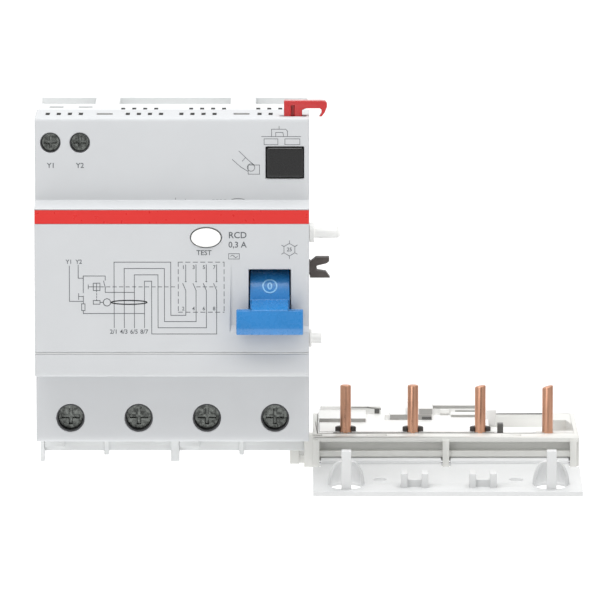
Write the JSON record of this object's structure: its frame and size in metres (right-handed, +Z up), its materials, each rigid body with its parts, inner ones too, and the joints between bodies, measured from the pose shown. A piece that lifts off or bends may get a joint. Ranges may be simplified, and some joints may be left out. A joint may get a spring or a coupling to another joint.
{
  "type": "residual current device",
  "caption": "Rail-mounted residual current add-on block with test button, blue toggle, screw terminals and a slide-down tray of upright copper pins with a folding screw cover",
  "frame": {"origin": "centre of the flat face that sits on the mounting rail", "axes": "+X towards the pin tray side, +Y into the rail and away from the front, +Z up"},
  "size_m": [0.14, 0.0757, 0.1006],
  "materials": {
    "housing_plastic": "fine satin moulding",
    "base_plastic": "fine satin moulding",
    "latch_plastic": "satin",
    "red_stripe": "smooth",
    "toggle_blue": "satin gloss",
    "shaft_steel": "ground",
    "button_white": "smooth",
    "button_black": "satin",
    "spring_steel": "drawn wire",
    "fork_plastic": "satin",
    "peg_plastic": "smooth",
    "hook_red": "slightly clear",
    "screw_steel": "dark passivated",
    "clamp_steel": "zinc plated",
    "copper": "drawn copper",
    "core_iron": "coated",
    "winding_copper": "enamelled wire",
    "inner_plastic": "plain",
    "plunger_steel": "ground",
    "board_green": "laminate",
    "resistor_coating": "lacquered",
    "tray_plastic": "satin",
    "cover_plastic": "satin",
    "flap_plastic": "satin",
    "collar_plastic": "satin"
  },
  "bodies": {
    "housing": {"front_cover": "housing_plastic", "rear_base": "base_plastic", "accent_stripe": "red_stripe", "toggle_shaft": "shaft_steel", "hook_pin": "shaft_steel", "test_spring": "spring_steel", "lock_spring": "spring_steel", "guide_peg_upper": "peg_plastic", "guide_peg_lower": "peg_plastic", "sensor_core": "core_iron", "secondary_winding": "winding_copper", "chassis": "inner_plastic", "trip_relay": "inner_plastic", "circuit_board": "board_green", "test_resistor": "resistor_coating", "conductor_1": "copper", "conductor_2": "copper", "conductor_3": "copper", "conductor_4": "copper"},
    "toggle": {"toggle": "toggle_blue"},
    "test_button": {"test_button": "button_white"},
    "lock_button": {"lock_button": "button_black"},
    "trip_fork": {"trip_fork": "fork_plastic"},
    "locking_hook": {"locking_hook": "hook_red"},
    "trip_plunger": {"trip_plunger": "plunger_steel"},
    "rail_latch_1": {"rail_latch_1": "latch_plastic"},
    "rail_latch_2": {"rail_latch_2": "latch_plastic"},
    "pin_tray": {"pin_tray": "tray_plastic", "tray_cover": "cover_plastic", "hinge_rod": "shaft_steel", "copper_pin_1": "copper", "copper_pin_2": "copper", "copper_pin_3": "copper", "copper_pin_4": "copper", "pin_collar_1": "collar_plastic", "pin_collar_2": "collar_plastic", "pin_collar_3": "collar_plastic"},
    "screw_cover": {"screw_cover": "flap_plastic"},
    "terminal_screw_1": {"terminal_screw_1": "screw_steel"},
    "clamp_cage_1": {"clamp_cage_1": "clamp_steel"},
    "terminal_screw_2": {"terminal_screw_2": "screw_steel"},
    "clamp_cage_2": {"clamp_cage_2": "clamp_steel"},
    "terminal_screw_3": {"terminal_screw_3": "screw_steel"},
    "clamp_cage_3": {"clamp_cage_3": "clamp_steel"},
    "terminal_screw_4": {"terminal_screw_4": "screw_steel"},
    "clamp_cage_4": {"clamp_cage_4": "clamp_steel"},
    "pilot_screw_1": {"pilot_screw_1": "screw_steel"},
    "pilot_clamp_1": {"pilot_clamp_1": "clamp_steel"},
    "pilot_screw_2": {"pilot_screw_2": "screw_steel"},
    "pilot_clamp_2": {"pilot_clamp_2": "clamp_steel"}
  },
  "joints": [
    {"name": "toggle_hinge", "type": "hinge", "parent": "housing", "child": "toggle", "pos_m": [0.02495, -0.054, -0.003], "axis": [-1, 0, 0], "range_deg": [0, 34]},
    {"name": "fork_hinge", "type": "hinge", "parent": "housing", "child": "trip_fork", "pos_m": [0.035, -0.045, 0.0042], "axis": [-1, 0, 0], "range_deg": [0, 34]},
    {"name": "test_press", "type": "slide", "parent": "housing", "child": "test_button", "axis": [0, 1, 0], "range_m": [0, 0.0016], "stiffness_N_per_m": 250, "springref_m": -0.002, "deforming": ["test_spring"]},
    {"name": "lock_press", "type": "slide", "parent": "housing", "child": "lock_button", "axis": [0, 1, 0], "range_m": [0, 0.0025], "stiffness_N_per_m": 250, "springref_m": -0.002, "deforming": ["lock_spring"]},
    {"name": "hook_hinge", "type": "hinge", "parent": "housing", "child": "locking_hook", "pos_m": [0.0309, -0.0543, 0.0428], "axis": [0, -1, 0], "range_deg": [0, 23]},
    {"name": "plunger_slide", "type": "slide", "parent": "housing", "child": "trip_plunger", "axis": [1, 0, 0], "range_m": [0, 0.002], "stiffness_N_per_m": 100, "springref_m": -0.001},
    {"name": "latch_slide_1", "type": "slide", "parent": "housing", "child": "rail_latch_1", "axis": [0, 0, -1], "range_m": [0, 0.003], "stiffness_N_per_m": 500, "springref_m": -0.004},
    {"name": "latch_slide_2", "type": "slide", "parent": "housing", "child": "rail_latch_2", "axis": [0, 0, -1], "range_m": [0, 0.003], "stiffness_N_per_m": 500, "springref_m": -0.004},
    {"name": "tray_slide", "type": "slide", "parent": "housing", "child": "pin_tray", "axis": [0, 0, 1], "range_m": [-0.014, 0]},
    {"name": "cover_hinge", "type": "hinge", "parent": "pin_tray", "child": "screw_cover", "pos_m": [0, -0.0355, -0.0483], "axis": [-1, 0, 0], "range_deg": [0, 65]},
    {"name": "screw_turn_1", "type": "hinge", "parent": "housing", "child": "terminal_screw_1", "pos_m": [-0.02625, -0.0515, -0.0338], "axis": [0, 1, 0], "range_deg": [0, 1440]},
    {"name": "clamp_slide_1", "type": "slide", "parent": "housing", "child": "clamp_cage_1", "axis": [0, -1, 0], "range_m": [0, 0.0028]},
    {"name": "screw_turn_2", "type": "hinge", "parent": "housing", "child": "terminal_screw_2", "pos_m": [-0.00875, -0.0515, -0.0338], "axis": [0, 1, 0], "range_deg": [0, 1440]},
    {"name": "clamp_slide_2", "type": "slide", "parent": "housing", "child": "clamp_cage_2", "axis": [0, -1, 0], "range_m": [0, 0.0028]},
    {"name": "screw_turn_3", "type": "hinge", "parent": "housing", "child": "terminal_screw_3", "pos_m": [0.00875, -0.0515, -0.0338], "axis": [0, 1, 0], "range_deg": [0, 1440]},
    {"name": "clamp_slide_3", "type": "slide", "parent": "housing", "child": "clamp_cage_3", "axis": [0, -1, 0], "range_m": [0, 0.0028]},
    {"name": "screw_turn_4", "type": "hinge", "parent": "housing", "child": "terminal_screw_4", "pos_m": [0.02625, -0.0515, -0.0338], "axis": [0, 1, 0], "range_deg": [0, 1440]},
    {"name": "clamp_slide_4", "type": "slide", "parent": "housing", "child": "clamp_cage_4", "axis": [0, -1, 0], "range_m": [0, 0.0028]},
    {"name": "pilot_turn_1", "type": "hinge", "parent": "housing", "child": "pilot_screw_1", "pos_m": [-0.031, -0.0561, 0.0378], "axis": [0, 1, 0], "range_deg": [0, 1080]},
    {"name": "pilot_slide_1", "type": "slide", "parent": "housing", "child": "pilot_clamp_1", "axis": [0, -1, 0], "range_m": [0, 0.0015]},
    {"name": "pilot_turn_2", "type": "hinge", "parent": "housing", "child": "pilot_screw_2", "pos_m": [-0.0235, -0.0561, 0.0378], "axis": [0, 1, 0], "range_deg": [0, 1080]},
    {"name": "pilot_slide_2", "type": "slide", "parent": "housing", "child": "pilot_clamp_2", "axis": [0, -1, 0], "range_m": [0, 0.0015]}
  ],
  "couplings": [
    {"joint": "fork_hinge", "follows": "toggle_hinge", "ratio": 1},
    {"joint": "screw_turn_1", "follows": "clamp_slide_1", "rad_per_m": 8976},
    {"joint": "screw_turn_2", "follows": "clamp_slide_2", "rad_per_m": 8976},
    {"joint": "screw_turn_3", "follows": "clamp_slide_3", "rad_per_m": 8976},
    {"joint": "screw_turn_4", "follows": "clamp_slide_4", "rad_per_m": 8976},
    {"joint": "pilot_turn_1", "follows": "pilot_slide_1", "rad_per_m": 12566},
    {"joint": "pilot_turn_2", "follows": "pilot_slide_2", "rad_per_m": 12566}
  ]
}
